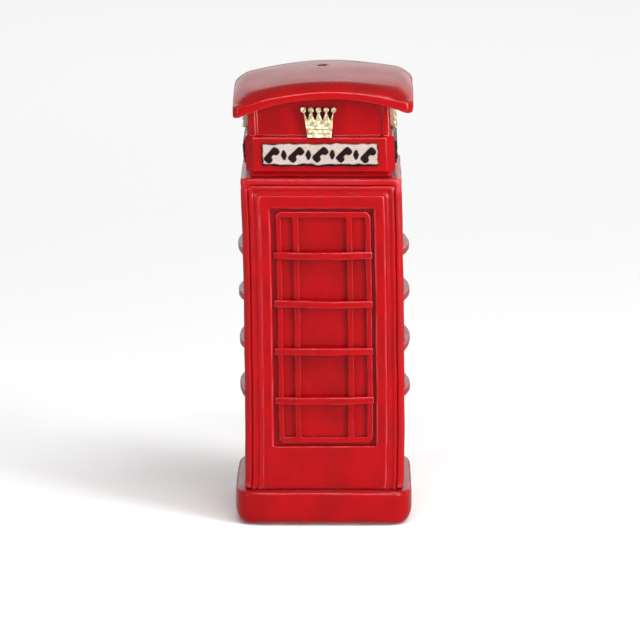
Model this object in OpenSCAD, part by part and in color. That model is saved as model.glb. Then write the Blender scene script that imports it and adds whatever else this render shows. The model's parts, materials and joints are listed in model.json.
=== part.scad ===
// Miniature telephone booth: a hollow painted casting with a stopper in its base.
// Millimetres, +Z up, the front faces -Y, and the origin is on the table under the middle.

/* [Plinth] */
// Height of the plinth slab
plinth_h = 8; // [7:0.2:14]
// How far the plinth stands out past the shaft on each side
plinth_step = 2.25; // [1:0.05:6]
// Corner radius of the plinth in plan
plinth_corner_r = 3; // [1:0.1:5]
// Radius of the rounded edge where the plinth meets the table
plinth_foot_r = 2.6; // [0.5:0.1:4]
// Radius of the rounded upper edge of the plinth
plinth_rim_r = 1; // [0.2:0.1:1]
// Thickness of the floor of the chamber
floor_t = 5; // [3.6:0.1:6]

/* [Shaft] */
// Width of the shaft, the same on all four sides
shaft_w = 35; // [29:0.5:46]
// Height of the shaft from the plinth to its top ledge
shaft_h = 69.2; // [56:0.2:90]
// Corner radius of the shaft in plan
shaft_corner_r = 1.2; // [0.4:0.1:1.4]
// Thickness of the casting behind the panels
wall_t = 3.2; // [2.6:0.1:4]

/* [Panels] */
// Width of the bare corner post beside each surround
post_w = 1.5; // [1.5:0.1:3]
// Height of the plain band above each surround
cap_band_h = 1.55; // [1:0.05:5]
// Depth of the panels let into each face
panel_t = 1.2; // [0.9:0.1:2]
// Distance from one reed of the surround to the next
reed_pitch = 1.3; // [1:0.05:2.2]
// Radius of each reed of the surround
reed_r = 0.6; // [0.4:0.05:0.65]
// Corner radius of each reed
reed_corner_r = 0.7; // [0.7:0.05:1.3]
// Width of the panel beside the window
stile_w = 2.15; // [1:0.05:4]
// Height of the panel above the window
top_rail_h = 2.45; // [1.5:0.05:6]
// Height of the panel below the window
kick_h = 9.65; // [5:0.05:20]

/* [Window] */
// Gap between the lattice and the edge of the window
lattice_gap = 0.7; // [0.3:0.1:1.5]
// Width of the lattice frame and of its upright bars
lattice_bar_w = 1.3; // [0.8:0.1:2]
// Thickness of the lattice
lattice_t = 0.9; // [0.5:0.1:1.2]
// Outer corner radius of the lattice frame
lattice_corner_r = 1.5; // [0.5:0.1:2.5]
// Clear width of the narrow side lights
side_light_w = 2.8; // [1.5:0.1:3.5]
// Number of cross bars laid over the lattice
bar_count = 4; // [2:1:6]
// Height of each cross bar's front face
bar_h = 1.6; // [1:0.1:2.4]
// Thickness of a cross bar at its two ends
bar_end_t = 0.4; // [0.2:0.1:1]
// Extra thickness of a cross bar at its middle
bar_bow = 1.3; // [0.5:0.1:2]
// How far each cross bar passes the lattice frame at its ends
bar_overhang = 0.2; // [0:0.1:0.3]

/* [Head] */
// How far the corners of the head stand back from the face of the shaft
head_setback = 2; // [1:0.1:2.4]
// Height of the head at its middle, under the roof
head_h = 19.6; // [16:0.2:26]
// Height of the plain neck between the shaft and the sign band
neck_h = 1.3; // [0.5:0.1:3]
// Height of the sign band
sign_band_h = 7.6; // [5.5:0.1:9]
// How far the sign band stands out from the corners of the head
sign_band_t = 0.7; // [0.3:0.1:0.9]
// Bare width of the head's corner beside the sign band
sign_band_inset = 0.9; // [0.5:0.1:3]
// Width of the corner beside the crown panel
pilaster_w = 1.8; // [1.6:0.1:5]
// Depth of the crown panel behind the corners of the head
crown_panel_d = 0.6; // [0.3:0.1:0.9]
// Corner radius of the head in plan
head_corner_r = 0.8; // [0.4:0.1:0.9]

/* [Badges] */
// Gap between the end of the sign plate and the end of the sign band
sign_end_gap = 2; // [1:0.1:5]
// Height of the sign plate
sign_h = 5; // [3:0.1:5.4]
// Thickness of the sign plate
sign_t = 0.4; // [0.3:0.1:1]
// Gap between the marks on the sign and its upper and lower edges
mark_margin = 0.7; // [0.5:0.1:1.4]
// Gap between one mark on the sign and the next
mark_gap = 0.35; // [0.2:0.05:0.8]
// Height of the marks above the plate
mark_t = 0.2; // [0.1:0.05:0.4]
// Width of the crown across its points
crown_w = 7.8; // [5:0.1:9]
// Height of the crown
crown_h = 6.6; // [4.5:0.1:7]
// Thickness of the crown
crown_t = 1.6; // [0.6:0.1:1.8]
// Diameter of the small balls on the crown's points
crown_ball_d = 1.2; // [0.6:0.1:1.4]

/* [Roof] */
// How far the roof overhangs the head on each side
eave = 4.2; // [2:0.1:6]
// Thickness of the roof
roof_t = 3.2; // [2:0.1:5]
// Radius of the domed top of the roof
dome_r = 72; // [60:1:120]
// Corner radius of the roof in plan
roof_corner_r = 2.5; // [1:0.1:4]
// Diameter of the pour hole
pour_d = 2; // [1:0.1:3]

/* [Stopper] */
// Diameter of the filler hole
filler_d = 14; // [10:0.5:16]
// Gap all round between the plug and the filler hole
plug_gap = 0.05; // [0.02:0.01:0.1]
// How far the plug reaches past the floor of the chamber
plug_reach = 4; // [1:0.5:6]
// Wall thickness of the hollow plug
plug_wall = 2; // [1.2:0.1:3]
// How far the flange reaches past the filler hole all round
flange_lip = 2.6; // [1.5:0.1:4]
// Thickness of the flange
flange_t = 2; // [1:0.1:2.5]
// Gap all round between the flange and its seat, and above it
seat_gap = 0.3; // [0.1:0.05:0.6]
// How far the flange sits up from the table
table_gap = 0.5; // [0.2:0.1:1]
// Width of the finger grip across the flange
grip_w = 1.6; // [1:0.1:2.5]
// Depth of the finger hollows beside the grip
grip_depth = 1; // [0.5:0.1:1.2]

/* [Hidden] */
$fn = 96;
FINE = 720;                      // facets of a long shallow bow
DOME = 240;                      // facets of the dome
CUT = 0.5;                       // how far a cutting shape runs past the face it cuts
SIDES = ["front", "right", "back", "left"];
TURN = 90;                       // turn about Z from one side to the next

RED = "#c4161c";
GOLD = "#d8c48c";
SILVER = "#d8ccc8";
DARK = "#2e1512";
RUBBER = "#d9d4c8";

plinth_w = shaft_w + 2 * plinth_step;
head_w = shaft_w - 2 * head_setback;
roof_w = head_w + 2 * eave;
chamber_w = shaft_w - 2 * (panel_t + wall_t);

shaft_z = plinth_h;
head_z = shaft_z + shaft_h;
sill_z = head_z + neck_h + sign_band_h;
top_z = head_z + head_h + roof_t;
dome_z = top_z - dome_r;         // centre of the dome's sphere
ceiling_r = dome_r - roof_t;     // radius of the roof's underside

face_y = -shaft_w / 2;
pocket_y = face_y + panel_t;
pocket_w = shaft_w - 2 * post_w;
pocket_h = shaft_h - cap_band_h;
surround_w = 2 * reed_pitch;
reed_plate_t = panel_t - reed_r; // the thin plate that carries the reeds
panel_w = pocket_w - 2 * surround_w;
panel_h = pocket_h - surround_w;
window_w = panel_w - 2 * stile_w;
window_h = panel_h - kick_h - top_rail_h;
window_z = shaft_z + kick_h;
lattice_w = window_w - 2 * lattice_gap;
lattice_h = window_h - 2 * lattice_gap;
upright_x = lattice_w / 2 - lattice_bar_w * 1.5 - side_light_w;
lattice_y = pocket_y - lattice_t;
bar_l = lattice_w + 2 * bar_overhang;
bar_pitch = window_h / (bar_count + 1);
bow_r = (pow(bar_l / 2, 2) + pow(bar_bow, 2)) / (2 * bar_bow);

sign_band_w = head_w - 2 * sign_band_inset;
sign_band_y = -head_w / 2 - sign_band_t;
sign_band_z = head_z + neck_h;
sign_w = sign_band_w - 2 * sign_end_gap;
sign_z = sign_band_z + sign_band_h / 2;
mark_h = sign_h - 2 * mark_margin;
crown_panel_y = -head_w / 2 + crown_panel_d;

// The marks alternate, handset then lozenge, with a handset at each end of the plate
mark_pairs = 4;
lozenge_share = 0.28;            // width of a lozenge, as a share of a handset's
mark_w = (sign_w - 2 * (mark_pairs + 1) * mark_gap) / (mark_pairs + 1 + mark_pairs * lozenge_share);
mark_step = mark_w * (1 + lozenge_share) / 2 + mark_gap;
handset_d = min(mark_w, mark_h); // side of the square that a handset lies aslant in
handset_bar_h = handset_d * 0.22;
cup_w = handset_d * 0.32;
cup_h = handset_d * 0.42;
handset_l = handset_d * sqrt(2) - cup_h;

seat_d = filler_d + 2 * (flange_lip + seat_gap);
seat_h = table_gap + flange_t + seat_gap;
plug_d = filler_d - 2 * plug_gap;
flange_d = filler_d + 2 * flange_lip;
plug_top_z = floor_t + plug_reach;

// Square of side w about the origin, with round corners
module rounded_square(w, r) {
    rounded_rectangle(w, w, r);
}

// Rectangle about the origin, with round corners
module rounded_rectangle(w, h, r) {
    square([w - 2 * r, h], center = true);
    square([w, h - 2 * r], center = true);
    for (x = [-1, 1], y = [-1, 1])
        translate([x * (w / 2 - r), y * (h / 2 - r)]) circle(r);
}

// Stands a flat shape drawn in x and z up on the plane y, t thick towards the front
module stand(y, t) {
    translate([0, y, 0]) rotate([90, 0, 0]) linear_extrude(t) children();
}

// Upright square prism of side w
module square_prism(w, z, h) {
    translate([-w / 2, -w / 2, z]) cube([w, w, h]);
}

// Front view of the plinth: straight sides, round lower corners and smaller round upper ones
module plinth_profile() {
    side_h = plinth_h - plinth_foot_r - plinth_rim_r;
    translate([-plinth_w / 2, plinth_foot_r]) square([plinth_w, side_h]);
    translate([-plinth_w / 2 + plinth_foot_r, 0])
        square([plinth_w - 2 * plinth_foot_r, plinth_h]);
    translate([-plinth_w / 2 + plinth_rim_r, plinth_foot_r])
        square([plinth_w - 2 * plinth_rim_r, plinth_h - plinth_foot_r]);
    for (x = [-1, 1]) {
        translate([x * (plinth_w / 2 - plinth_foot_r), plinth_foot_r]) circle(plinth_foot_r);
        translate([x * (plinth_w / 2 - plinth_rim_r), plinth_h - plinth_rim_r])
            circle(plinth_rim_r);
    }
}

module plinth() {
    color(RED) difference() {
        intersection() {
            linear_extrude(plinth_h) rounded_square(plinth_w, plinth_corner_r);
            stand(plinth_w / 2, plinth_w) plinth_profile();
            rotate(TURN) stand(plinth_w / 2, plinth_w) plinth_profile();
        }
        square_prism(chamber_w, floor_t, plinth_h);
        translate([0, 0, -CUT]) cylinder(d = seat_d, h = CUT + seat_h);
        translate([0, 0, -CUT]) cylinder(d = filler_d, h = 2 * CUT + floor_t);
    }
}

module shaft() {
    color(RED) difference() {
        translate([0, 0, shaft_z]) linear_extrude(shaft_h)
            rounded_square(shaft_w, shaft_corner_r);
        square_prism(chamber_w, shaft_z - CUT, shaft_h + 2 * CUT);
        for (i = [0:3]) rotate(i * TURN)
            translate([-pocket_w / 2, face_y - CUT, shaft_z - CUT])
                cube([pocket_w, CUT + panel_t, CUT + pocket_h]);
    }
}

// Section of a reed: round in front, flat behind, and let into the plate that carries it
module reed_section() {
    intersection() {
        circle(reed_r);
        translate([-reed_r, -reed_r]) square([2 * reed_r, reed_r + reed_plate_t / 2]);
    }
}

// One reed of the surround: up one side, round two corners of radius r and down the other
module reed(x, h, r) {
    for (side = [0, 1]) mirror([side, 0, 0]) translate([x - r, face_y + reed_r, shaft_z]) {
        translate([r, 0, 0]) linear_extrude(h - r) reed_section();
        translate([0, 0, h - r]) rotate([90, 0, 0]) rotate_extrude(angle = 90)
            translate([r, 0]) mirror([0, 1]) reed_section();
    }
    translate([r - x, face_y + reed_r, shaft_z + h]) rotate([0, 90, 0])
        linear_extrude(2 * (x - r)) reed_section();
}

module surround() {
    color(RED) {
        difference() {
            translate([-pocket_w / 2, pocket_y - reed_plate_t, shaft_z])
                cube([pocket_w, reed_plate_t, pocket_h]);
            translate([-panel_w / 2, pocket_y - reed_plate_t - CUT, shaft_z - CUT])
                cube([panel_w, reed_plate_t + 2 * CUT, panel_h + CUT]);
        }
        for (i = [0:1]) {
            inset = (i + 0.5) * reed_pitch;
            reed(pocket_w / 2 - inset, pocket_h - inset, reed_corner_r);
        }
    }
}

module panel() {
    color(RED) difference() {
        translate([-panel_w / 2, face_y, shaft_z]) cube([panel_w, panel_t, panel_h]);
        translate([-window_w / 2, face_y - CUT, window_z])
            cube([window_w, panel_t + 2 * CUT, window_h]);
    }
}

module lattice() {
    color(RED) stand(pocket_y, lattice_t) translate([0, window_z + window_h / 2]) {
        difference() {
            rounded_rectangle(lattice_w, lattice_h, lattice_corner_r);
            square([lattice_w - 2 * lattice_bar_w, lattice_h - 2 * lattice_bar_w], center = true);
        }
        for (x = [-upright_x, upright_x])
            translate([x, 0]) square([lattice_bar_w, lattice_h - 2 * lattice_bar_w], center = true);
    }
}

// One cross bar: flat behind, bowed forwards at the middle
module cross_bar() {
    intersection() {
        translate([-bar_l / 2, -bar_end_t - bar_bow, 0])
            cube([bar_l, bar_end_t + bar_bow, bar_h]);
        translate([0, bow_r - bar_end_t - bar_bow, -CUT])
            cylinder(r = bow_r, h = bar_h + 2 * CUT, $fn = FINE);
    }
}

module cross_bars() {
    color(RED) for (i = [1:bar_count])
        translate([0, lattice_y, window_z + i * bar_pitch - bar_h / 2]) cross_bar();
}

module head() {
    color(RED) difference() {
        union() {
            intersection() {
                translate([0, 0, head_z]) linear_extrude(head_h)
                    rounded_square(head_w, head_corner_r);
                translate([0, 0, dome_z]) sphere(ceiling_r, $fn = DOME);
            }
            for (i = [0:3]) rotate(i * TURN)
                translate([-sign_band_w / 2, sign_band_y, sign_band_z])
                    cube([sign_band_w, sign_band_t + CUT, sign_band_h]);
        }
        square_prism(chamber_w, head_z - CUT, head_h + 2 * CUT);
        for (i = [0:3]) rotate(i * TURN)
            translate([-head_w / 2 + pilaster_w, -head_w / 2 - CUT, sill_z])
                cube([head_w - 2 * pilaster_w, CUT + crown_panel_d, head_h]);
    }
}

module roof_cap() {
    color(RED) difference() {
        intersection() {
            translate([0, 0, head_z]) linear_extrude(head_h + roof_t)
                rounded_square(roof_w, roof_corner_r);
            translate([0, 0, dome_z]) sphere(dome_r, $fn = DOME);
        }
        translate([0, 0, dome_z]) sphere(ceiling_r, $fn = DOME);
        translate([0, 0, head_z]) cylinder(d = pour_d, h = head_h + roof_t + CUT);
    }
}

module sign_plate() {
    color(SILVER) stand(sign_band_y, sign_t) translate([0, sign_z])
        square([sign_w, sign_h], center = true);
}

// A handset lying aslant: a bar with a deep cup at each end
module handset_mark() {
    rotate(45) {
        translate([0, (cup_h - handset_bar_h) / 2])
            square([handset_l - cup_w, handset_bar_h], center = true);
        for (x = [-1, 1]) translate([x * (handset_l - cup_w) / 2, 0])
            rounded_rectangle(cup_w, cup_h, cup_w * 0.3);
    }
}

module lozenge_mark() {
    w = mark_w * lozenge_share;
    h = mark_h * 0.6;
    polygon([[w / 2, 0], [0, h / 2], [-w / 2, 0], [0, -h / 2]]);
}

module sign_marks() {
    color(DARK) stand(sign_band_y - sign_t, mark_t) translate([0, sign_z])
        for (i = [-mark_pairs:mark_pairs]) translate([i * mark_step, 0])
            if (i % 2 == 0) handset_mark(); else lozenge_mark();
}

// A plain open crown: a band, five points and a ball on each
module crown() {
    band_h = crown_h * 0.3;
    step = (crown_w - crown_ball_d) / 4;
    valley = band_h + (crown_h - band_h) * 0.35;
    ball_z = crown_h - crown_ball_d / 2;
    color(GOLD) stand(crown_panel_y, crown_t) translate([0, sill_z]) {
        polygon(concat([[-1.6 * step, 0], [1.6 * step, 0]],
            [for (i = [8:-1:0]) [(i / 2 - 2) * step, i % 2 == 0 ? ball_z : valley]]));
        for (i = [-2:2]) translate([i * step, ball_z]) circle(d = crown_ball_d);
    }
}

module stopper() {
    grip_reach = filler_d / 2;
    color(RUBBER) difference() {
        union() {
            translate([0, 0, table_gap]) cylinder(d = flange_d, h = flange_t);
            translate([0, 0, table_gap]) cylinder(d = plug_d, h = plug_top_z - table_gap);
        }
        translate([0, 0, table_gap + flange_t + plug_wall - 1])
            cylinder(d = plug_d - 2 * plug_wall, h = plug_top_z);
        for (side = [0, 180]) rotate(side) intersection() {
            translate([-grip_reach, grip_w / 2, table_gap - CUT])
                cube([2 * grip_reach, grip_reach, CUT + grip_depth]);
            translate([0, 0, table_gap - CUT]) cylinder(r = grip_reach, h = CUT + grip_depth);
        }
    }
}

plinth();
shaft();
head();
roof_cap();
stopper();
for (i = [0:3]) rotate(i * TURN) {
    surround();
    panel();
    lattice();
    cross_bars();
    sign_plate();
    sign_marks();
    crown();
}
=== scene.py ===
"""Miniature telephone booth: painted casting, gilt crowns, silvered signs and a rubber stopper."""
import json
import math
from functools import partial

import bmesh
import bpy
import numpy as np
from bpy.props import FloatProperty, FloatVectorProperty, IntProperty, PointerProperty
from mathutils import Euler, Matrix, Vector

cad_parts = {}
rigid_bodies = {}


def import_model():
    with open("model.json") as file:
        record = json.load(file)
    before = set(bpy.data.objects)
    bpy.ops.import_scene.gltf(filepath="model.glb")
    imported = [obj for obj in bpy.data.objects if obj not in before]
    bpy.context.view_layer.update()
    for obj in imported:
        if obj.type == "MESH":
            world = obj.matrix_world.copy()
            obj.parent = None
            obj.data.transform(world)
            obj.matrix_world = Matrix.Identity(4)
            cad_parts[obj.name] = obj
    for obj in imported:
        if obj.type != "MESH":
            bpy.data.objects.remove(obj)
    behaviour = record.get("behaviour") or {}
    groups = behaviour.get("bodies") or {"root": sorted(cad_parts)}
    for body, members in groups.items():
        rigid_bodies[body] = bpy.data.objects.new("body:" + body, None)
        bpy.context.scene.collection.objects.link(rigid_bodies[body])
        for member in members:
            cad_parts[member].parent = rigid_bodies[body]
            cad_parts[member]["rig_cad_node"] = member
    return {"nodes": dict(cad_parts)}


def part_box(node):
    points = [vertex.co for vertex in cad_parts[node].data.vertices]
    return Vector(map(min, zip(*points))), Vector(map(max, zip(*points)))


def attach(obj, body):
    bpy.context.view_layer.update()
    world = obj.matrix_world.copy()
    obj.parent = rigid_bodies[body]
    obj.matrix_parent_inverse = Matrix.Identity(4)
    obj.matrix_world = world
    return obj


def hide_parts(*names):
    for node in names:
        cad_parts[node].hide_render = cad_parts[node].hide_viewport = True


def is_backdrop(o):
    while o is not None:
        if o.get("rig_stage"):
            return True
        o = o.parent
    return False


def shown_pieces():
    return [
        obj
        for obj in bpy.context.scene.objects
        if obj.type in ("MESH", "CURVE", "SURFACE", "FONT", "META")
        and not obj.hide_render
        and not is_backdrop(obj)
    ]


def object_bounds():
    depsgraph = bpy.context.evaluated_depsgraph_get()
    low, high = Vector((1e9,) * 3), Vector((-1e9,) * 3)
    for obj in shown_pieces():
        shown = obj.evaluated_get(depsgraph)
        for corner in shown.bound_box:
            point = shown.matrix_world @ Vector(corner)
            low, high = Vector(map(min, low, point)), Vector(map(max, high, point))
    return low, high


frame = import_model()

bl_info = {
    "name": "Miniature telephone booth",
    "version": (1, 0, 0),
    "blender": (4, 5, 0),
    "location": "3D View > Sidebar > Booth",
    "description": "Builds a hand-painted miniature telephone booth round its measured frame",
    "category": "Add Mesh",
}

MM = 0.001
CAD_LOW, CAD_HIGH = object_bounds()
SIDES = ("front", "right", "back", "left")
QUARTER = math.pi / 2
DOME_RADIUS = 72.0  # of the frame's round dome, in millimetres


def linear(hex_colour):
    """An sRGB hex colour as linear RGBA."""
    shades = [int(hex_colour[i : i + 2], 16) / 255 for i in (1, 3, 5)]
    return [s / 12.92 if s <= 0.04045 else ((s + 0.055) / 1.055) ** 2.4 for s in shades] + [1]


def corners(node):
    """The lowest and the highest corner of a CAD node, in millimetres."""
    low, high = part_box(node)
    return np.array(low) / MM, np.array(high) / MM


def smooth_step(low, high, value):
    """0 at low, 1 at high and soft at both ends; low may be the larger."""
    share = np.clip((value - low) / (high - low), 0, 1)
    return share * share * (3 - 2 * share)


# ---------------------------------------------------------------- sizes and colours


class BoothSizes(bpy.types.PropertyGroup):
    """Sizes of what the hand adds to the frame's shapes"""

    lean: FloatProperty(
        name="Lean", description="How far the head leans to the left of the shaft",
        default=1.4 * MM, unit="LENGTH",
    )
    roof_tilt: FloatProperty(
        name="Roof tilt", description="How far the roof's right end sits above its middle",
        default=0.65 * MM, unit="LENGTH",
    )
    roof_edge: FloatProperty(
        name="Roof edge", description="How far the upper edge of the roof is worn down",
        default=1.6 * MM, unit="LENGTH",
    )
    foot_tuck: FloatProperty(
        name="Foot tuck", description="How far the foot of the plinth is drawn in",
        default=1.5 * MM, unit="LENGTH",
    )
    wander: FloatProperty(
        name="Wander", description="How far flat faces and edges stray by hand",
        default=0.05 * MM, unit="LENGTH",
    )
    strip_tilt: FloatProperty(
        name="Strip tilt", description="Most that a cross bar is laid out of level",
        default=math.radians(1.4), unit="ROTATION",
    )
    strip_wobble: FloatProperty(
        name="Strip wobble", description="How far a cross bar strays along its length",
        default=0.35 * MM, unit="LENGTH",
    )
    strip_slip: FloatProperty(
        name="Strip slip", description="Most that a cross bar is laid too high or too low",
        default=0.35 * MM, unit="LENGTH",
    )
    mark_tilt: FloatProperty(
        name="Mark tilt", description="Most that a mark on the sign is turned askew",
        default=math.radians(5), unit="ROTATION",
    )
    mark_wobble: FloatProperty(
        name="Mark wobble", description="How far a mark's outline strays",
        default=0.12 * MM, unit="LENGTH",
    )
    # the hollows hold a real dark wash and also painted shade
    hollow_reach: FloatProperty(
        name="Hollow reach", description="How near a wall must be to hold the dark wash",
        default=1.8 * MM, unit="LENGTH",
    )
    hollow_rays: IntProperty(
        name="Hollow rays", description="Directions looked in for the dark wash", default=28, min=8
    )


def colour_property(name, description, hex_colour):
    """A colour that the user can change."""
    return FloatVectorProperty(
        name=name, description=description, default=linear(hex_colour), size=4, subtype="COLOR"
    )


class BoothPaints(bpy.types.PropertyGroup):
    """Colours of the paints and of the stopper"""

    red: colour_property("Red", "Enamel where it lies thick", "#A0050C")
    deep_red: colour_property("Deep red", "Enamel where it is brushed thin", "#90050A")
    # painted highlight: a lighter pink laid along the edges, where light would catch them
    rubbed_red: colour_property("Rubbed red", "Enamel rubbed on edges", "#DE4A50")
    # this darker red gives brush streaks and smears on the marks, and painted shade on faces that
    # look up
    shaded_red: colour_property("Shaded red", "Enamel dulled on faces that look up", "#7E090C")
    # a real dark wash and painted shade both darken the hollows, most in the deepest corners
    wash: colour_property("Wash", "Dark wash left in the hollows", "#86060A")
    soot: colour_property("Soot", "Darkest wash, in the deepest corners", "#3A0304")
    bare: colour_property("Bare ceramic", "Unpainted casting inside and under the foot", "#D8CDBB")
    gold: colour_property("Gold", "Pale metallic paint of the crowns", "#EBDAB0")
    gold_wash: colour_property("Gold wash", "Brown wash in the crowns' hollows", "#5A3D18")
    silver: colour_property("Silver", "Pale metallic paint of the sign plates", "#D9C7C5")
    silver_edge: colour_property("Silver edge", "Beige paint where the silver is thin", "#C9B28C")
    mark: colour_property("Marks", "Dark paint rubbed over the marks", "#180705")
    rubber: colour_property("Rubber", "Moulded rubber of the stopper", "#D6D0C2")


# ---------------------------------------------------------------- materials


def add_node(tree, kind, inputs=None, output=0, **settings):
    """Adds a node with its settings, links or sets its inputs, and gives one of its outputs."""
    node = tree.nodes.new(kind)
    for name, value in settings.items():
        setattr(node, name, value)
    for socket, value in (inputs or {}).items():
        if isinstance(value, bpy.types.NodeSocket):
            tree.links.new(value, node.inputs[socket])
        else:
            node.inputs[socket].default_value = value
    return node.outputs[output] if len(node.outputs) else node


# settings that nodes share: a Map Range with soft ends, and a Mix of colours, whose sockets are
# 0 for the share, 6 and 7 for the two colours
SOFT = {"interpolation_type": "SMOOTHSTEP"}
COLOURS = {"data_type": "RGBA", "output": 2}


class Finish:
    """A material under construction: its tree and the patterns that it is built from."""

    def __init__(self, name):
        self.material = bpy.data.materials.new(name)
        self.material.use_nodes = True
        self.material.node_tree.nodes.clear()
        self.add = partial(add_node, self.material.node_tree)
        self.place = self.add("ShaderNodeTexCoord", output="Object")

    def grain(self, size_mm, detail=4.0, roughness=0.55):
        """A noise pattern whose blotches are size_mm apart along x, y and z."""
        scale = [1 / (size * MM) for size in size_mm]
        spread = self.add("ShaderNodeMapping", {"Vector": self.place, "Scale": scale})
        return self.add(
            "ShaderNodeTexNoise",
            {"Vector": spread, "Scale": 1.0, "Detail": detail, "Roughness": roughness},
        )

    def brushed_over(self, body, paint, pattern, low, high, most=1.0):
        """A paint laid over a body colour where a pattern climbs from low to high."""
        share = self.add("ShaderNodeMapRange", {0: pattern, 1: low, 2: high, 4: most}, **SOFT)
        return self.add("ShaderNodeMix", {0: share, 6: body, 7: paint}, **COLOURS)

    def patchy(self, share, pattern, low, high, least):
        """A share that sinks to its least part where a pattern sinks from high to low."""
        part = self.add("ShaderNodeMapRange", {0: pattern, 1: low, 2: high, 3: least}, **SOFT)
        return self.add("ShaderNodeMath", {0: share, 1: part}, operation="MULTIPLY")

    def done(self, **values):
        """Sets the shader's own sockets, with _ for each space, and gives the material."""
        sockets = {name.replace("_", " "): value for name, value in values.items()}
        surface = self.add("ShaderNodeBsdfPrincipled", sockets)
        self.add("ShaderNodeOutputMaterial", {"Surface": surface})
        return self.material


def red_enamel(paints):
    """Semi-gloss enamel brushed on cast ceramic: a clear deep red under a thin glossy skin, uneven
    where the brush thinned it, dull and darker as painted shade where it looks up, with a dark wash
    and painted shade in the hollows, and a painted pink highlight along the edges."""
    finish = Finish("brushed_red_enamel")
    add, over = finish.add, finish.brushed_over
    hollow, ridge, shelf, bare = (
        add("ShaderNodeAttribute", output="Fac", attribute_name=name)
        for name in ("hollow", "ridge", "shelf", "bare")
    )
    # the coat pools over about 6 mm, a bristle leaves a track every 0.45 mm, drawn coarser than the
    # real hair so that it shows, and the cast grain is 0.8 mm wide
    coat = finish.grain((6, 6, 9), detail=3)
    stroke = finish.grain((0.45, 0.45, 7))
    speck = finish.grain((0.8, 0.8, 0.8), detail=5, roughness=0.6)

    body = over(list(paints.red), list(paints.deep_red), coat, 0.35, 0.68)
    body = over(body, list(paints.shaded_red), stroke, 0.5, 0.75, 0.22)
    # painted shade: faces that look up are darkened, and their paint is also made duller
    up_shade_and_dull = finish.patchy(shelf, coat, 0.3, 0.7, 0.7)
    body = add("ShaderNodeMix", {0: up_shade_and_dull, 6: body, 7: list(paints.shaded_red)}, **COLOURS)
    # painted highlight: the sharpest edges turn lighter pink
    edge = add("ShaderNodeMapRange", {0: ridge, 1: 0.2, 2: 0.6, 4: 0.5}, **SOFT)
    painted_highlight = finish.patchy(edge, coat, 0.35, 0.6, 0.3)
    body = add("ShaderNodeMix", {0: painted_highlight, 6: body, 7: list(paints.rubbed_red)}, **COLOURS)
    # the hollows take a dark wash and painted shade, darkest in the deepest corners
    deep = add("ShaderNodeMapRange", {0: hollow, 1: 0.12, 2: 0.6, 4: 0.55}, **SOFT)
    pooled_wash_and_shade = finish.patchy(deep, speck, 0.25, 0.6, 0.6)
    body = add("ShaderNodeMix", {0: pooled_wash_and_shade, 6: body, 7: list(paints.wash)}, **COLOURS)
    body = over(body, list(paints.soot), hollow, 0.55, 1.5)
    body = add("ShaderNodeMix", {0: bare, 6: body, 7: list(paints.bare)}, **COLOURS)

    # wash and bare ceramic take the shine away
    shine = add("ShaderNodeMapRange", {0: stroke, 1: 0.2, 2: 0.8, 3: 0.13, 4: 0.22}, **SOFT)
    washed = add("ShaderNodeMath", {0: pooled_wash_and_shade, 1: up_shade_and_dull}, operation="MAXIMUM")
    washed = add("ShaderNodeMath", {0: washed, 1: 0.5}, operation="MULTIPLY")
    dull = add("ShaderNodeMath", {0: bare, 1: washed}, operation="MAXIMUM")
    dull = add("ShaderNodeMath", {0: dull, 1: 0.3}, operation="MULTIPLY")
    cast_grain = add(
        "ShaderNodeBump", {"Height": speck, "Strength": 1.0, "Distance": 0.04 * MM}
    )
    return finish.done(
        Base_Color=body,
        Roughness=add("ShaderNodeMath", {0: shine, 1: dull}, operation="ADD"),
        IOR=1.5,
        Specular_IOR_Level=0.14,
        Coat_Weight=0.3,
        Coat_Roughness=0.07,
        Normal=add(
            "ShaderNodeBump",
            {"Height": stroke, "Strength": 1.0, "Distance": 0.008 * MM, "Normal": cast_grain},
        ),
    )


def gilt(paints):
    """Gold metallic paint brushed on relief: pale and bright where it stands out, brown in the
    hollows from a wash and painted shade, and broken into flakes about 0.35 mm wide."""
    finish = Finish("brushed_gilt_paint")
    add, over = finish.add, finish.brushed_over
    hollow = add("ShaderNodeAttribute", output="Fac", attribute_name="hollow")
    flake = finish.grain((0.35, 0.35, 0.5), detail=6, roughness=0.7)
    # the hollows are browned by a wash and by painted shade
    body = over(list(paints.gold), list(paints.gold_wash), hollow, 0.06, 0.4)
    return finish.done(
        Base_Color=over(body, list(paints.gold_wash), flake, 0.56, 0.75, 0.5),
        Metallic=0.75,
        Roughness=add("ShaderNodeMapRange", {0: flake, 1: 0.3, 2: 0.7, 3: 0.25, 4: 0.45}, **SOFT),
        Normal=add("ShaderNodeBump", {"Height": flake, "Strength": 1.0, "Distance": 0.04 * MM}),
    )


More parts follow.
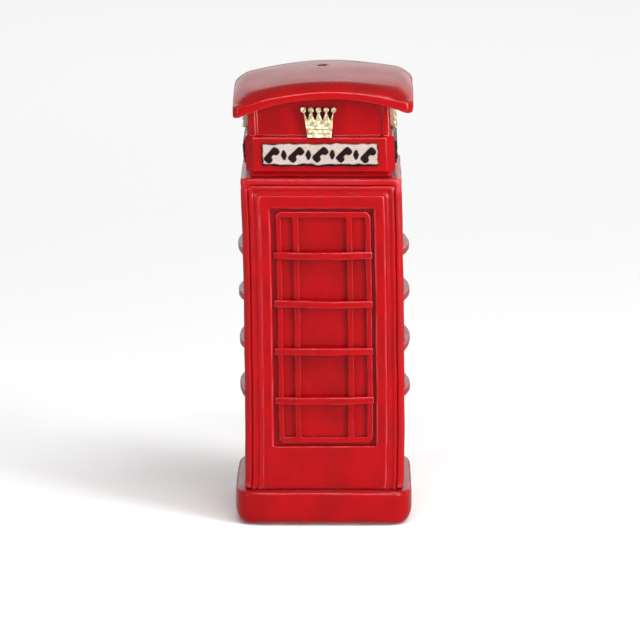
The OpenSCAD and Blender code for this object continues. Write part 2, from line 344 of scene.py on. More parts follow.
def silvering(paints):
    """Silver metallic paint wiped over a flat plate: pinkish and bright, beige where it is thin, in
    smears about 1.6 mm long, with dark paint and painted shade from the hollows round its edge,
    and a painted shadow along its foot."""
    finish = Finish("brushed_silver_paint")
    add, over = finish.add, finish.brushed_over
    hollow, ridge, bare = (
        add("ShaderNodeAttribute", output="Fac", attribute_name=name)
        for name in ("hollow", "ridge", "bare")
    )
    flake = finish.grain((1.6, 1.6, 0.8), roughness=0.6)
    body = over(list(paints.silver), list(paints.silver_edge), flake, 0.45, 0.7, 0.8)
    body = over(body, list(paints.silver_edge), ridge, 0.1, 0.5, 0.7)
    # dark paint round the edge, with painted shade from the hollows and a painted shadow at the
    # foot
    walled = add("ShaderNodeMapRange", {0: hollow, 1: 0.1, 2: 0.35}, **SOFT)
    dark_edge_and_shade = add("ShaderNodeMath", {0: bare, 1: walled}, operation="MAXIMUM")
    return finish.done(
        Base_Color=add("ShaderNodeMix", {0: dark_edge_and_shade, 6: body, 7: list(paints.mark)}, **COLOURS),
        Metallic=0.45,
        Roughness=add("ShaderNodeMapRange", {0: flake, 1: 0.3, 2: 0.7, 3: 0.2, 4: 0.4}, **SOFT),
        Normal=add("ShaderNodeBump", {"Height": flake, "Strength": 1.0, "Distance": 0.03 * MM}),
    )


def mark_paint(paints):
    """Dark brown paint dragged over raised marks: nearly black, with red in short smears."""
    finish = Finish("dragged_brown_paint")
    add = finish.add
    drag = finish.grain((1.8, 1.8, 0.6), detail=5, roughness=0.7)
    return finish.done(
        Base_Color=finish.brushed_over(
            list(paints.mark), list(paints.shaded_red), drag, 0.62, 0.75, 0.3
        ),
        Roughness=add("ShaderNodeMapRange", {0: drag, 1: 0.3, 2: 0.7, 3: 0.3, 4: 0.5}, **SOFT),
        Specular_IOR_Level=0.25,
        Normal=add("ShaderNodeBump", {"Height": drag, "Strength": 1.0, "Distance": 0.02 * MM}),
    )


def rubber(paints):
    """Moulded off-white rubber: soft and faintly cloudy, with the mould's matt grain, 0.25 mm."""
    finish = Finish("moulded_white_rubber")
    add = finish.add
    cloud = finish.grain((4, 4, 4), detail=3)
    grain = finish.grain((0.25, 0.25, 0.25))
    return finish.done(
        Base_Color=finish.brushed_over(
            list(paints.rubber), list(paints.bare), cloud, 0.3, 0.7, 0.3
        ),
        Roughness=add("ShaderNodeMapRange", {0: grain, 1: 0.3, 2: 0.7, 3: 0.5, 4: 0.65}, **SOFT),
        Subsurface_Weight=0.2,
        Subsurface_Scale=1.5 * MM,
        Normal=add("ShaderNodeBump", {"Height": grain, "Strength": 1.0, "Distance": 0.015 * MM}),
    )


FINISHES = {
    "red_enamel": red_enamel,
    "gold_paint": gilt,
    "silver_paint": silvering,
    "dark_paint": mark_paint,
    "stopper_rubber": rubber,
}
made = {}


def finish_for(slot):
    """The material of a record's slot, made the first time that it is asked for."""
    if slot not in made:
        made[slot] = FINISHES[slot](bpy.context.scene.booth_paints)
    return made[slot]


# ---------------------------------------------------------------- meshes, in millimetres


def mesh_of(points, faces, name="piece"):
    """A smooth-shaded mesh in metres from points in millimetres and an array of quads."""
    mesh = bpy.data.meshes.new(name)
    mesh.vertices.add(len(points))
    mesh.vertices.foreach_set("co", (points * MM).astype(np.float32).ravel())
    mesh.loops.add(faces.size)
    mesh.loops.foreach_set("vertex_index", faces.astype(np.int32).ravel())
    mesh.polygons.add(len(faces))
    starts = np.arange(0, faces.size, faces.shape[1], dtype=np.int32)
    mesh.polygons.foreach_set("loop_start", starts)
    mesh.update(calc_edges=True)
    mesh.validate()
    mesh.shade_smooth()
    return mesh


def read_mesh(mesh, unit=MM):
    """A mesh's points in millimetres and its quads; unit is the length of a millimetre in it."""
    points = np.empty(len(mesh.vertices) * 3, np.float32)
    mesh.vertices.foreach_get("co", points)
    faces = np.empty(len(mesh.loops), np.int32)
    mesh.loops.foreach_get("vertex_index", faces)
    return points.reshape(-1, 3).astype(float) / unit, faces.reshape(-1, 4)


def evaluated(obj):
    """The mesh that an object's modifiers make of it, and the object is removed."""
    graph = bpy.context.evaluated_depsgraph_get()
    mesh = bpy.data.meshes.new_from_object(obj.evaluated_get(graph))
    old = obj.data
    bpy.data.objects.remove(obj)
    bpy.data.meshes.remove(old)
    return mesh


def merged(node):
    """A CAD node's shape in millimetres, with its loose triangles joined."""
    shape = bmesh.new()
    shape.from_mesh(frame["nodes"][node].data)
    bmesh.ops.remove_doubles(shape, verts=shape.verts, dist=1e-4 * MM)
    bmesh.ops.scale(shape, vec=(1 / MM,) * 3, verts=shape.verts)
    return shape


def solids(node, axis):
    """The boxes of a CAD node's separate solids, in their order along an axis."""
    shape = merged(node)
    boxes, seen = [], set()
    for first in shape.verts:
        if first in seen:
            continue
        group, ahead = set(), [first]
        while ahead:
            vert = ahead.pop()
            if vert not in group:
                group.add(vert)
                ahead.extend(edge.other_vert(vert) for edge in vert.link_edges)
        seen |= group
        spots = np.array([v.co for v in group])
        boxes.append((spots.min(axis=0), spots.max(axis=0)))
    shape.free()
    return sorted(boxes, key=lambda box: box[0][axis] + box[1][axis])


def soft_cast(node, detail, rounds, within=None):
    """A CAD node's shape as soft-edged quads: detail is the mesh's spacing in millimetres, and each
    round wears the edges a little more. within is the box of one of the node's solids, to cast it
    alone."""
    shape = merged(node)
    if within is not None:
        low, high = (Vector(corner) for corner in within)
        stray = [
            v for v in shape.verts
            if any(not low[i] - 1e-3 <= v.co[i] <= high[i] + 1e-3 for i in range(3))
        ]
        bmesh.ops.delete(shape, geom=stray, context="VERTS")
    mesh = bpy.data.meshes.new(node)
    shape.to_mesh(mesh)
    shape.free()
    obj = bpy.data.objects.new(node + "_rough", mesh)
    bpy.context.scene.collection.objects.link(obj)
    remesh = obj.modifiers.new("remesh", "REMESH")
    remesh.mode = "VOXEL"
    remesh.voxel_size = detail
    wear = obj.modifiers.new("wear", "SMOOTH")
    wear.factor = 0.5
    wear.iterations = rounds
    worn = evaluated(obj)
    points, faces = read_mesh(worn, unit=1)
    bpy.data.meshes.remove(worn)
    return points, faces


def normals_of(points, faces):
    """Each point's direction outwards, from the quads round it."""
    a, b, c, d = (points[faces[:, i]] for i in range(4))
    across = np.cross(c - a, d - b)
    total = np.zeros_like(points)
    for corner in range(4):
        for axis in range(3):
            total[:, axis] += np.bincount(faces[:, corner], across[:, axis], len(points))
    return total / np.maximum(np.linalg.norm(total, axis=1, keepdims=True), 1e-12)


def averaged(values, faces):
    """The mean of each point's neighbours, for columns of values."""
    total, count = np.zeros_like(values), np.zeros(len(values))
    for corner in range(4):
        for step in (1, 3):
            here, there = faces[:, corner], faces[:, (corner + step) % 4]
            count += np.bincount(here, minlength=len(values))
            for column in range(values.shape[1]):
                total[:, column] += np.bincount(here, values[there, column], len(values))
    return total / np.maximum(count, 1)[:, None]


def ridges_of(points, faces):
    """How sharply each point stands out from its neighbours: 0 on a flat, up to 1 on an edge."""
    away = np.sum((points - averaged(points, faces)) * normals_of(points, faces), axis=1)
    spacing = np.median(np.linalg.norm(points[faces[:, 0]] - points[faces[:, 1]], axis=1))
    sharp = np.clip(away / spacing * 6, 0, 1)[:, None]
    return averaged(averaged(sharp, faces), faces)[:, 0]


def wander(points, wavelength, seed):
    """A smooth wave of no pattern, from about -1 to 1, that strays over wavelength millimetres."""
    draw = np.random.default_rng(seed)
    total = np.zeros(len(points))
    for _ in range(7):
        heading = draw.normal(size=3)
        heading *= 2 * math.pi / wavelength / np.linalg.norm(heading) * draw.uniform(0.6, 1.5)
        total += np.sin(points @ heading + draw.uniform(0, 2 * math.pi))
    return total / 3


def by_hand(points):
    """Leans and strays the casting, the same for every piece, so that neighbours stay together."""
    sizes = bpy.context.scene.booth_sizes
    moved = points.copy()
    foot, eaves = corners("shaft")[0][2], corners("roof_cap")[0][2]
    climb = np.clip((points[:, 2] - foot) / (eaves - foot), 0, 1)
    # the shaft starts a little to the right of its foot and then bends over to the left
    start = 0.2 * smooth_step(foot - 2, foot + 4, points[:, 2])
    moved[:, 0] += sizes.lean / MM * (start - climb**2.5)
    above_floor = smooth_step(0, 3, points[:, 2])
    for axis in range(3):
        moved[:, axis] += sizes.wander / MM * above_floor * wander(points, 16, seed=1 + axis)
    return moved


def held(points):
    """Presses the outermost half millimetre inwards, so that nothing leaves the frame's box."""
    margin, room = 0.5, 0.48
    kept = points.copy()
    for axis in range(3):
        low, high = CAD_LOW[axis] / MM, CAD_HIGH[axis] / MM
        over = np.maximum(points[:, axis] - (high - margin), 0)
        kept[:, axis] -= over - room * np.tanh(over / room)
        if axis < 2:
            under = np.maximum(low + margin - points[:, axis], 0)
            kept[:, axis] += under - room * np.tanh(under / room)
        else:
            kept[:, axis] = np.maximum(kept[:, axis], low)
    return kept


def turned(points, side):
    """Points of the front side carried round to another side."""
    angle = SIDES.index(side) * QUARTER
    c, s = math.cos(angle), math.sin(angle)
    x, y, z = points.T
    return np.column_stack([x * c - y * s, x * s + y * c, z])


def place(name, points, faces, slot, body, *nodes, bare=None):
    """Makes the finished piece: its mesh with what its paint reads, its paint, the body that it
    rides on and the nodes that it stands for."""
    points = held(points)
    mesh = mesh_of(points, faces, name)
    # faces that look up, which the red enamel darkens as painted shade
    looks_up = smooth_step(0.55, 0.95, normals_of(points, faces)[:, 2:])
    layers = {
        # the ridges, which the red enamel lightens as a painted highlight and the silver turns
        # beige
        "ridge": ridges_of(points, faces),
        "shelf": averaged(looks_up, faces)[:, 0],
        "bare": np.zeros(len(points)) if bare is None else bare,
    }
    for label, values in layers.items():
        layer = mesh.attributes.new(label, "FLOAT", "POINT")
        layer.data.foreach_set("value", values.astype(np.float32))
    obj = bpy.data.objects.new(name, mesh)
    bpy.context.scene.collection.objects.link(obj)
    mesh.materials.append(finish_for(slot))
    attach(obj, body)
    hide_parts(*nodes)


class Piece:
    """What every operator of the booth shares."""

    bl_options = {"REGISTER", "UNDO"}


# ---------------------------------------------------------------- the casting


def rounded_reach(points, power=8):
    """How far out points lie on a square plan whose corners are rounded."""
    return (np.abs(points[:, 0]) ** power + np.abs(points[:, 1]) ** power) ** (1 / power)


def unpainted(points):
    """1 inside the chamber, the filler hole and the stopper's seat, where no paint was brushed."""
    bare_to = corners("shaft")[1][0] - 3.6
    ragged = 0.2 * wander(points, 2.5, seed=40)
    out = np.maximum(np.abs(points[:, 0]), np.abs(points[:, 1]))
    return 1 - smooth_step(bare_to, bare_to + 0.4, out + ragged)


class BOOTH_OT_plinth(Piece, bpy.types.Operator):
    """Slab with a rounded foot, bare underneath"""

    bl_idname = "booth.plinth"
    bl_label = "Plinth"

    def execute(self, context):
        tuck = context.scene.booth_sizes.foot_tuck / MM
        points, faces = soft_cast("plinth", detail=0.33, rounds=16)
        half, top = corners("plinth")[1][0], corners("plinth")[1][2]
        under = 1 - smooth_step(0.05, 0.3, points[:, 2] + 0.1 * wander(points, 4, seed=21))
        chamber = unpainted(points) * (points[:, 2] < top - 0.1)

        # what lies beyond a rounder plan is pressed in, which rounds the upright corners
        reach = rounded_reach(points, power=7)
        over = np.maximum(reach / half - 0.97, 0)
        points[:, :2] /= (1 + over**2 / (over + 0.03))[:, None]
        # the upper face drops over its last few millimetres
        shoulder_width, shoulder_drop = 2.2, 0.8
        rim = np.clip(1 - (half - reach) / shoulder_width, 0, 1)
        points[:, 2] -= shoulder_drop * rim**2 * smooth_step(3, top, points[:, 2])
        # the foot turns under on a quarter circle
        tuck_height = 3.4
        turn = 0.98 * np.clip(1 - points[:, 2:3] / tuck_height, 0, 1)
        points[:, :2] *= 1 - tuck / half * (1 - np.sqrt(1 - turn**2))

        bare = np.maximum(under, chamber)
        place("plinth_cast", by_hand(points), faces, "red_enamel", "casting", "plinth", bare=bare)
        return {"FINISHED"}


class BOOTH_OT_shaft(Piece, bpy.types.Operator):
    """Square tower with its corner posts, ledge and pane faces"""

    bl_idname = "booth.shaft"
    bl_label = "Shaft"

    def execute(self, context):
        points, faces = soft_cast("shaft", detail=0.46, rounds=3)
        bare = unpainted(points)
        place("shaft_cast", by_hand(points), faces, "red_enamel", "casting", "shaft", bare=bare)
        return {"FINISHED"}


def dome_depth(points):
    """How far points lie under the crest of the frame's round dome, along the dome's own curve."""
    return DOME_RADIUS - np.sqrt(DOME_RADIUS**2 - points[:, 0] ** 2 - points[:, 1] ** 2)


def domed(points):
    """Turns the round dome into a hand-made one: full arches over the four sides, low at the
    corners, and the right end a little higher."""
    roof_low, roof_high = corners("roof_cap")
    x, y = points[:, 0] / roof_high[0], points[:, 1] / roof_high[0]
    arch = -0.4 - 2.2 * x**2 - 1.85 * y**2 - 1.5 * x**2 * y**2
    eaves = roof_low[2] + 1
    moved = points.copy()
    follows = smooth_step(corners("head")[0][2] + 9, eaves, points[:, 2])
    moved[:, 2] += (arch + dome_depth(points)) * follows
    tilt = bpy.context.scene.booth_sizes.roof_tilt / MM
    moved[:, 2] += tilt * x * smooth_step(eaves - 6, eaves, points[:, 2])
    return moved


class BOOTH_OT_head(Piece, bpy.types.Operator):
    """Head with its sign bands and sunk crown panels"""

    bl_idname = "booth.head"
    bl_label = "Head"

    def execute(self, context):
        points, faces = soft_cast("head", detail=0.3, rounds=3)
        bare = unpainted(points)
        points = by_hand(domed(points))
        place("head_cast", points, faces, "red_enamel", "casting", "head", bare=bare)
        return {"FINISHED"}


class BOOTH_OT_roof(Piece, bpy.types.Operator):
    """Domed roof with soft eaves, a little out of level"""

    bl_idname = "booth.roof"
    bl_label = "Roof"

    def execute(self, context):
        sizes = context.scene.booth_sizes
        points, faces = soft_cast("roof_cap", detail=0.32, rounds=16)
        half, top = corners("roof_cap")[1][0], corners("roof_cap")[1][2]
        # the depth under the dome's face and the way in from its rim say how far the wear goes
        depth = top - dome_depth(points) - points[:, 2]
        rim = half - rounded_reach(points)
        bare = unpainted(points) * smooth_step(2.4, 2.8, depth)
        thick, wide = 2.6, 3.8
        worn = sizes.roof_edge / MM * (1 - np.clip(depth / thick, 0, 1))
        worn *= (1 - np.clip(rim / wide, 0, 1)) ** 2
        # towards the corners the upper edge keeps more and the underside of the eaves sinks
        corner = (np.abs(points[:, :2]).min(axis=1) / half) ** 3
        worn *= 1 - 0.5 * corner
        eaves = smooth_step(3.6, 0.6, rim) * smooth_step(0.8, 2.8, depth)
        worn += (0.5 * corner - 0.3) * eaves
        points = domed(points)
        points[:, 2] -= worn
        points = by_hand(points)
        points[:, 0] += 0.6 * sizes.lean / MM
        place("roof_cast", points, faces, "red_enamel", "casting", "roof_cap", bare=bare)
        return {"FINISHED"}


def all_sides(group, points, faces, slot, seed, bare=None):
    """Carries a front piece round to the four sides, each strayed by its own hand."""
    for side in SIDES:
        here = turned(points, side)
        swell = 0.02 * wander(here, 5, seed=seed)[:, None] * normals_of(here, faces)
        name = f"{group}_{side}"
        place(name + "_cast", by_hand(here + swell), faces, slot, "casting", name, bare=bare)


class BOOTH_OT_surrounds(Piece, bpy.types.Operator):
    """Pairs of reeds round each door"""

    bl_idname = "booth.surrounds"
    bl_label = "Door surrounds"

    def execute(self, context):
        points, faces = soft_cast("surround_front", detail=0.2, rounds=3)
        # paint levels the grooves between the reeds, and the hidden back is left alone
        fill = 0.38
        face = corners("panel_front")[0][1]
        deep = np.maximum(points[:, 1] - face, 0)
        filled = face + fill * np.tanh(deep / fill)
        behind = smooth_step(0.62, 0.75, deep)
        points[:, 1] = np.where(deep > 0, filled + behind * (points[:, 1] - filled), points[:, 1])
        all_sides("surround", points, faces, "red_enamel", seed=51)
        return {"FINISHED"}


class BOOTH_OT_panels(Piece, bpy.types.Operator):
    """Door panels with their window openings"""

    bl_idname = "booth.panels"
    bl_label = "Door panels"

    def execute(self, context):
        points, faces = soft_cast("panel_front", detail=0.22, rounds=4)
        # both sides and the top grow into the reeds, so that no gap opens between them
        growth = 0.35
        high = corners("panel_front")[1]
        edge = smooth_step(high[0] - 1.4, high[0] - 0.2, np.abs(points[:, 0]))
        points[:, 0] += growth * edge * np.sign(points[:, 0])
        points[:, 2] += growth * smooth_step(high[2] - 1.4, high[2] - 0.2, points[:, 2])
        all_sides("panel", points, faces, "red_enamel", seed=52)
        return {"FINISHED"}


class BOOTH_OT_lattices(Piece, bpy.types.Operator):
    """Window frames with two uprights each"""

    bl_idname = "booth.lattices"
    bl_label = "Window lattices"

    def execute(self, context):
        points, faces = soft_cast("lattice_front", detail=0.2, rounds=8)
        # the outer left upright stands in from the opening's edge
        inset, inner, outer = 0.4, -8.2, -9.6
        points[:, 0] += inset * smooth_step(inner, outer, points[:, 0])
        all_sides("lattice", points, faces, "red_enamel", seed=53)
        return {"FINISHED"}


# ---------------------------------------------------------------- what repeats: node trees


class NodeRecipe:
    """A geometry node tree under construction, with named inputs."""

    def __init__(self, name, **inputs):
        self.tree = bpy.data.node_groups.new(name, "GeometryNodeTree")
        self.add = partial(add_node, self.tree)
        face = self.tree.interface
        self.sockets = {}
        for label, kind in {"Geometry": "Geometry", **inputs, "Material": "Material"}.items():
            socket = face.new_socket(label, in_out="INPUT", socket_type="NodeSocket" + kind)
            self.sockets[label] = socket.identifier
        face.new_socket("Geometry", in_out="OUTPUT", socket_type="NodeSocketGeometry")
        self.start = self.tree.nodes.new("NodeGroupInput").outputs

    def stray(self, amount, wavelength_mm):
        """A vector offset that strays smoothly along a piece."""
        noise = self.add(
            "ShaderNodeTexNoise",
            {"W": self.start["Seed"], "Scale": 1 / (wavelength_mm * MM), "Detail": 1.0},
            output="Color", noise_dimensions="4D",
        )
        middle = (0.5, 0.5, 0.5)
        centred = self.add("ShaderNodeVectorMath", {0: noise, 1: middle}, operation="SUBTRACT")
        return self.add("ShaderNodeVectorMath", {0: centred, "Scale": amount}, operation="SCALE")

    def end(self, geometry):
        """Realizes the instances, sets the material and closes the tree."""
        real = self.add("GeometryNodeRealizeInstances", {0: geometry})
        painted = self.add("GeometryNodeSetMaterial", {0: real, "Material": self.start["Material"]})
        self.add("NodeGroupOutput", {0: painted})

    def run(self, mesh, **values):
        """The mesh that the tree makes of another with these inputs."""
        obj = bpy.data.objects.new("recipe_source", mesh)
        bpy.context.scene.collection.objects.link(obj)
        nodes = obj.modifiers.new("recipe", "NODES")
        nodes.node_group = self.tree
        for label, value in values.items():
            nodes[self.sockets[label]] = value
        return evaluated(obj)


def laid_row():
    """One shape laid over and over in a row, each a little askew, out of place and out of true."""
    recipe = NodeRecipe(
        "Laid row", Count="Int", Start="Vector", Step="Vector", Slip="Vector", Tilt="Float",
        Wobble="Float", Seed="Int",
    )
    add, start = recipe.add, recipe.start
    line = add(
        "GeometryNodeMeshLine",
        {"Count": start["Count"], "Start Location": start["Start"], "Offset": start["Step"]},
    )
    back = add("ShaderNodeVectorMath", {0: start["Slip"], 1: (-1, -1, -1)}, operation="MULTIPLY")
    most = add("ShaderNodeMath", {0: start["Tilt"], 1: -1.0}, operation="MULTIPLY")
    down, up = (add("ShaderNodeCombineXYZ", {"Y": turn}) for turn in (most, start["Tilt"]))
    slip, tilt = (
        add(
            "FunctionNodeRandomValue", {0: low, 1: high, "Seed": start["Seed"]},
            data_type="FLOAT_VECTOR",
        )
        for low, high in ((back, start["Slip"]), (down, up))
    )
    slipped = add("GeometryNodeSetPosition", {"Geometry": line, "Offset": slip})
    laid = add(
        "GeometryNodeInstanceOnPoints",
        {"Points": slipped, "Instance": start["Geometry"], "Rotation": tilt},
    )
    real = add("GeometryNodeRealizeInstances", {0: laid})
    offset = recipe.stray(start["Wobble"], wavelength_mm=6)
    recipe.end(add("GeometryNodeSetPosition", {"Geometry": real, "Offset": offset}))
    return recipe


def row_of(recipe, node, boxes, detail, rounds, slot, **values):
    """Casts the first of a node's like solids once, and lays it where all of them are."""
    points, faces = soft_cast(node, detail, rounds, within=boxes[0])
    middles = [(low + high) / 2 for low, high in boxes]
    points -= middles[0]
    step = (middles[-1] - middles[0]) / (len(middles) - 1)
    mesh = recipe.run(
        mesh_of(points, faces), Count=len(middles), Start=[float(v) for v in middles[0] * MM],
        Step=[float(v) for v in step * MM], Material=finish_for(slot), **values,
    )
    return read_mesh(mesh)


class BOOTH_OT_cross_bars(Piece, bpy.types.Operator):
    """Strips laid by hand across the window lattices"""

    bl_idname = "booth.cross_bars"
    bl_label = "Cross bars"

    def execute(self, context):
        sizes = context.scene.booth_sizes
        recipe = laid_row()
        bars = solids("cross_bars_front", 2)
        for number, side in enumerate(SIDES):
            points, faces = row_of(
                recipe, "cross_bars_front", bars, detail=0.17, rounds=11, slot="red_enamel",
                Slip=(0, 0, sizes.strip_slip), Tilt=sizes.strip_tilt, Wobble=sizes.strip_wobble,
                Seed=number + 3,
            )
            points = by_hand(turned(points, side))
            name = f"cross_bars_{side}"
            place(name + "_laid", points, faces, "red_enamel", "casting", name)
        return {"FINISHED"}


# ---------------------------------------------------------------- badges


class BOOTH_OT_signs(Piece, bpy.types.Operator):
    """Silvered sign plates"""

    bl_idname = "booth.signs"
    bl_label = "Sign plates"

    def execute(self, context):
        points, faces = soft_cast("sign_front", detail=0.13, rounds=3)
        low, high = corners("sign_front")
        # dark paint creeps in from the edges, and further at the foot as a painted shadow under the
        # plate
        ragged = 0.1 * wander(points, 1.5, seed=63)
        sides = np.minimum(points[:, 0] - low[0], high[0] - points[:, 0])
        top = np.minimum(sides, high[2] - points[:, 2]) + ragged
        foot = points[:, 2] - low[2] + ragged
        # painted shadow: the dark border is wider along the foot
        bare = np.maximum(smooth_step(0.3, 0.12, top), smooth_step(0.6, 0.35, foot))
        points[:, 2] += 0.12 * wander(points * (1, 0, 1), 5, seed=61)
        all_sides("sign", points, faces, "silver_paint", seed=62, bare=bare)
        return {"FINISHED"}


class BOOTH_OT_sign_marks(Piece, bpy.types.Operator):
    """Raised handsets and lozenges in a row on each sign"""

    bl_idname = "booth.sign_marks"
    bl_label = "Sign marks"

    def execute(self, context):
        sizes = context.scene.booth_sizes
        recipe = laid_row()
        boxes = solids("sign_marks_front", 0)
        for number, side in enumerate(SIDES):
            clouds, quads, first = [], [], 0
            # handsets and lozenges take turns along the row
            for share in (boxes[::2], boxes[1::2]):
                points, faces = row_of(
                    recipe, "sign_marks_front", share, detail=0.06, rounds=2, slot="dark_paint",
                    Slip=(0.05 * MM, 0, 0.1 * MM), Tilt=sizes.mark_tilt,
                    Wobble=sizes.mark_wobble, Seed=2 * number,
                )
                clouds.append(points + 0.02 * normals_of(points, faces))
                quads.append(faces + first)
                first += len(points)
            points, faces = turned(np.concatenate(clouds), side), np.concatenate(quads)
            name = f"sign_marks_{side}"
            place(name + "_raised", by_hand(points), faces, "dark_paint", "casting", name)
        return {"FINISHED"}


class BOOTH_OT_crowns(Piece, bpy.types.Operator):
    """Gilt badges on the ledge under the roof, with a beaded band"""

    bl_idname = "booth.crowns"
    bl_label = "Crowns"

    def execute(self, context):
        points, faces = soft_cast("crown_front", detail=0.1, rounds=6)
        low, high = corners("crown_front")
        width, height = high[0] - low[0], high[2] - low[2]
        across, up = (points[:, 0] - low[0]) / width, (points[:, 2] - low[2]) / height
        front = smooth_step(low[1] + 0.9, low[1] + 0.3, points[:, 1])
        # the band stands proud along its foot and its upper edge, with a row of beads between
        rim = np.exp(-((up / 0.07) ** 2)) + 0.8 * np.exp(-(((up - 0.3) / 0.035) ** 2))
        beads = np.zeros(len(points))
        for bead in np.linspace(0.22, 0.78, 5):
            away = ((across - bead) * width) ** 2 + ((up - 0.17) * height) ** 2
            beads += np.exp(-away / 0.4**2)
        lumps = 0.7 * wander(points, 1.4, seed=65)
        points[:, 1] -= 0.3 * front * (rim + beads + lumps)
        all_sides("crown", points, faces, "gold_paint", seed=64)
        return {"FINISHED"}


class BOOTH_OT_stopper(Piece, bpy.types.Operator):
    """Rubber stopper in the filler hole"""

    bl_idname = "booth.stopper"
    bl_label = "Stopper"

    def execute(self, context):
        points, faces = soft_cast("stopper", detail=0.16, rounds=2)
        place("stopper_moulded", points, faces, "stopper_rubber", "stopper", "stopper")
        return {"FINISHED"}


# ---------------------------------------------------------------- dark wash and painted shade in the hollows


def hollow_recipe(rays):
    """Looks from each point in many directions, and stores how much is walled in nearby."""
    recipe = NodeRecipe("Hollows", Reach="Float")
    add, start = recipe.add, recipe.start
    here, out = add("GeometryNodeInputPosition"), add("GeometryNodeInputNormal")
    clearance = (0.04 * MM,) * 3
    lift = add("ShaderNodeVectorMath", {0: out, 1: clearance}, operation="MULTIPLY")
    lifted = add("ShaderNodeVectorMath", {0: here, 1: lift}, operation="ADD")
    total = None
    for ray in range(rays):
        # directions spread evenly over a ball and pulled towards the point's own
        height = 1 - 2 * (ray + 0.5) / rays
        around = ray * math.pi * (3 - math.sqrt(5))
        wide = math.sqrt(1 - height * height)
        spread = (wide * math.cos(around), wide * math.sin(around), height)
        heading = add("ShaderNodeVectorMath", {0: out, 1: spread}, operation="ADD")
        heading = add("ShaderNodeVectorMath", {0: heading}, operation="NORMALIZE")
        hit = add(
            "GeometryNodeRaycast",
            {"Target Geometry": start["Geometry"], "Source Position": lifted,
             "Ray Direction": heading, "Ray Length": start["Reach"]},
            output="Is Hit",
        )
        distance = hit.node.outputs["Hit Distance"]
        share = add("ShaderNodeMath", {0: distance, 1: start["Reach"]}, operation="DIVIDE")
        near = add("ShaderNodeMath", {0: 1.0, 1: share}, operation="SUBTRACT")
        near = add("ShaderNodeMath", {0: hit, 1: near}, operation="MULTIPLY")
        if total is None:
            total = near
        else:
            total = add("ShaderNodeMath", {0: total, 1: near}, operation="ADD")
    mean = add("ShaderNodeMath", {0: total, 1: float(rays)}, operation="DIVIDE")
    soft = add("GeometryNodeBlurAttribute", {0: mean, "Iterations": 3}, data_type="FLOAT")
    stored = add(
        "GeometryNodeStoreNamedAttribute",
        {"Geometry": start["Geometry"], "Name": "hollow", "Value": soft},
        data_type="FLOAT", domain="POINT",
    )
    recipe.end(stored)
    return recipe


class BOOTH_OT_wash(Piece, bpy.types.Operator):
    """Finds the hollows of the whole booth, where the dark wash and painted shade go, and adds
    painted shade above the plinth, round the ledge and down the pour hole
    """

    bl_idname = "booth.wash"
    bl_label = "Dark wash"

    def execute(self, context):
        sizes = context.scene.booth_sizes
        pieces = [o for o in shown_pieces() if "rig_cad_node" not in o]
        clouds, quads, first = [], [], 0
        for obj in pieces:
            points, faces = read_mesh(obj.data)
            clouds.append(points)
            quads.append(faces + first)
            first += len(points)
        whole = mesh_of(np.concatenate(clouds), np.concatenate(quads))
        rays = sizes.hollow_rays
        seen = hollow_recipe(rays).run(
            whole, Reach=sizes.hollow_reach, Material=finish_for("red_enamel")
        )
        shares = np.empty(first, np.float32)
        seen.attributes["hollow"].data.foreach_get("value", shares)
        first = 0
        foot, ledge = (corners("shaft")[end][2] for end in (0, 1))
        spout = -0.2 * sizes.lean / MM
        for obj, points in zip(pieces, clouds):
            # painted shade adds to the wash above the plinth, round the ledge and down the pour
            # hole
            climb = points[:, 2] - foot
            above = climb + 0.5 * wander(points, 6, seed=70)
            beside = np.abs(points[:, 2] - ledge) + 0.3 * wander(points, 6, seed=71)
            bore = np.hypot(points[:, 0] - spout, points[:, 1])
            in_roof = above > 80
            painted_shade = 0.28 * smooth_step(2.6, 0, above) * smooth_step(-0.9, -0.3, climb)
            painted_shade += 0.2 * smooth_step(1.4, 0.4, beside)
            painted_shade += 2 * smooth_step(1.6, 1.3, bore) * in_roof
            hollows = shares[first : first + len(points)] + painted_shade
            layer = obj.data.attributes.new("hollow", "FLOAT", "POINT")
            layer.data.foreach_set("value", hollows.astype(np.float32))
            first += len(points)
        return {"FINISHED"}


# ---------------------------------------------------------------- stage


def studio_light(name, place_mm, size_mm, watts, aim_mm=(0, 0, 50)):
    """A soft rectangular lamp, turned towards the point that it is aimed at."""
    lamp = bpy.data.lights.new(name, "AREA")
    lamp.shape = "RECTANGLE"
    lamp.size, lamp.size_y = (size * MM for size in size_mm)
    lamp.energy = watts
    obj = bpy.data.objects.new(name, lamp)
    obj.location = Vector(place_mm) * MM
    obj.rotation_euler = (Vector(aim_mm) - Vector(place_mm)).to_track_quat("-Z", "Y").to_euler()
    bpy.context.scene.collection.objects.link(obj)


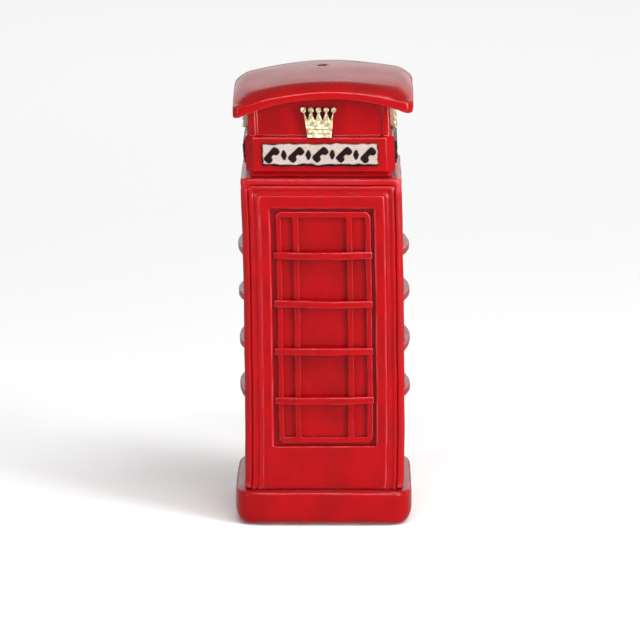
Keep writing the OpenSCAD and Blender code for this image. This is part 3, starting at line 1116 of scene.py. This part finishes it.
def white_floor():
    """Matt white paper under and behind the booth."""
    reach, gap = 3000 * MM, 0.02 * MM
    mesh = bpy.data.meshes.new("floor")
    mesh.from_pydata(
        [(-reach, -reach, 0), (reach, -reach, 0), (reach, reach, 0), (-reach, reach, 0)],
        [], [(0, 1, 2, 3)],
    )
    floor = bpy.data.objects.new("floor", mesh)
    floor.location.z = -gap
    bpy.context.scene.collection.objects.link(floor)
    paper = Finish("matt_white_paper")
    tooth = paper.grain((2, 2, 2), detail=3)
    shade = paper.add(
        "ShaderNodeMix", {0: tooth, 6: linear("#FAFAFA"), 7: linear("#F6F6F5")}, **COLOURS
    )
    mesh.materials.append(paper.done(Base_Color=shade, Roughness=0.9))
    # the floor lights the booth but isn't mirrored in its paint, which would look milky
    floor.visible_glossy = False
    floor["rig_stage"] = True


def white_room():
    """White behind the booth and dimmer as the paint sees it, so that reds stay deep."""
    world = bpy.data.worlds.new("white_room")
    world.use_nodes = True
    tree = world.node_tree
    seen = add_node(tree, "ShaderNodeLightPath", output="Is Camera Ray")
    strength = add_node(tree, "ShaderNodeMapRange", {0: seen, 3: 0.3, 4: 0.97})
    tree.links.new(strength, tree.nodes["Background"].inputs["Strength"])
    tree.nodes["Background"].inputs["Color"].default_value = (1, 1, 1, 1)
    bpy.context.scene.world = world


def studio_camera():
    """A long lens in front, looking a little down and from a little to the right."""
    camera = bpy.data.cameras.new("camera")
    camera.lens = 245.5
    camera.sensor_width = 36
    camera.clip_start, camera.clip_end = 0.05, 20
    obj = bpy.data.objects.new("camera", camera)
    swing, dip = math.radians(0.4), 0.2
    away, aside, up = 950 * MM, -0.9 * MM, 235 * MM
    obj.location = (
        away * math.sin(swing) + aside * math.cos(swing),
        -away * math.cos(swing) + aside * math.sin(swing),
        up,
    )
    obj.rotation_euler = Euler((QUARTER - dip, 0, swing))
    bpy.context.scene.collection.objects.link(obj)
    bpy.context.scene.camera = obj


class BOOTH_OT_stage(Piece, bpy.types.Operator):
    """Pale floor, soft light and the camera"""

    bl_idname = "booth.stage"
    bl_label = "Stage"

    def execute(self, context):
        context.scene.view_settings.view_transform = "Standard"
        white_floor()
        white_room()
        window = bpy.data.lights.new("window_light", "SUN")
        window.energy = 1.0
        window.angle = math.radians(25)
        obj = bpy.data.objects.new("window_light", window)
        obj.rotation_euler = Vector((-0.4, 0.3, -0.87)).to_track_quat("-Z", "Y").to_euler()
        context.scene.collection.objects.link(obj)
        middle = (0, 0, 205)
        studio_light("front_softbox", (260, -800, 400), (300, 300), 0.6)
        studio_light("right_softbox", (450, -370, 205), (200, 400), 3.4, aim_mm=middle)
        studio_light("left_softbox", (-430, -330, 205), (60, 400), 0.75, aim_mm=middle)
        studio_light("overhead_strip", (0, -260, 430), (260, 60), 0.9)
        # these two whiten the backdrop, and the first puts the sheen on faces that look up
        studio_light("back_panel", (0, 1300, 520), (1500, 900), 3.1)
        studio_light("backdrop_light", (0, 620, 420), (1000, 500), 0.7, aim_mm=(0, 621, 0))
        studio_camera()
        return {"FINISHED"}


class BOOTH_PT_panel(bpy.types.Panel):
    """Sidebar panel of the booth"""

    bl_label = "Telephone booth"
    bl_space_type = "VIEW_3D"
    bl_region_type = "UI"
    bl_category = "Booth"

    def draw(self, context):
        for group in (context.scene.booth_sizes, context.scene.booth_paints):
            for name in group.__annotations__:
                self.layout.prop(group, name)
        for operator in OPERATORS:
            self.layout.operator(operator.bl_idname)


OPERATORS = (
    BOOTH_OT_stage,
    BOOTH_OT_plinth,
    BOOTH_OT_shaft,
    BOOTH_OT_head,
    BOOTH_OT_roof,
    BOOTH_OT_surrounds,
    BOOTH_OT_panels,
    BOOTH_OT_lattices,
    BOOTH_OT_cross_bars,
    BOOTH_OT_signs,
    BOOTH_OT_sign_marks,
    BOOTH_OT_crowns,
    BOOTH_OT_stopper,
    BOOTH_OT_wash,
)
CLASSES = (BoothSizes, BoothPaints, BOOTH_PT_panel, *OPERATORS)


def register():
    """Adds the booth's settings, operators and panel to Blender."""
    for each in CLASSES:
        bpy.utils.register_class(each)
    bpy.types.Scene.booth_sizes = PointerProperty(type=BoothSizes)
    bpy.types.Scene.booth_paints = PointerProperty(type=BoothPaints)


def unregister():
    """Takes them out again."""
    del bpy.types.Scene.booth_paints
    del bpy.types.Scene.booth_sizes
    for each in reversed(CLASSES):
        bpy.utils.unregister_class(each)


def main():
    register()
    for operator in OPERATORS:
        family, name = operator.bl_idname.split(".")
        getattr(getattr(bpy.ops, family), name)()


if __name__ == "__main__":
    main()
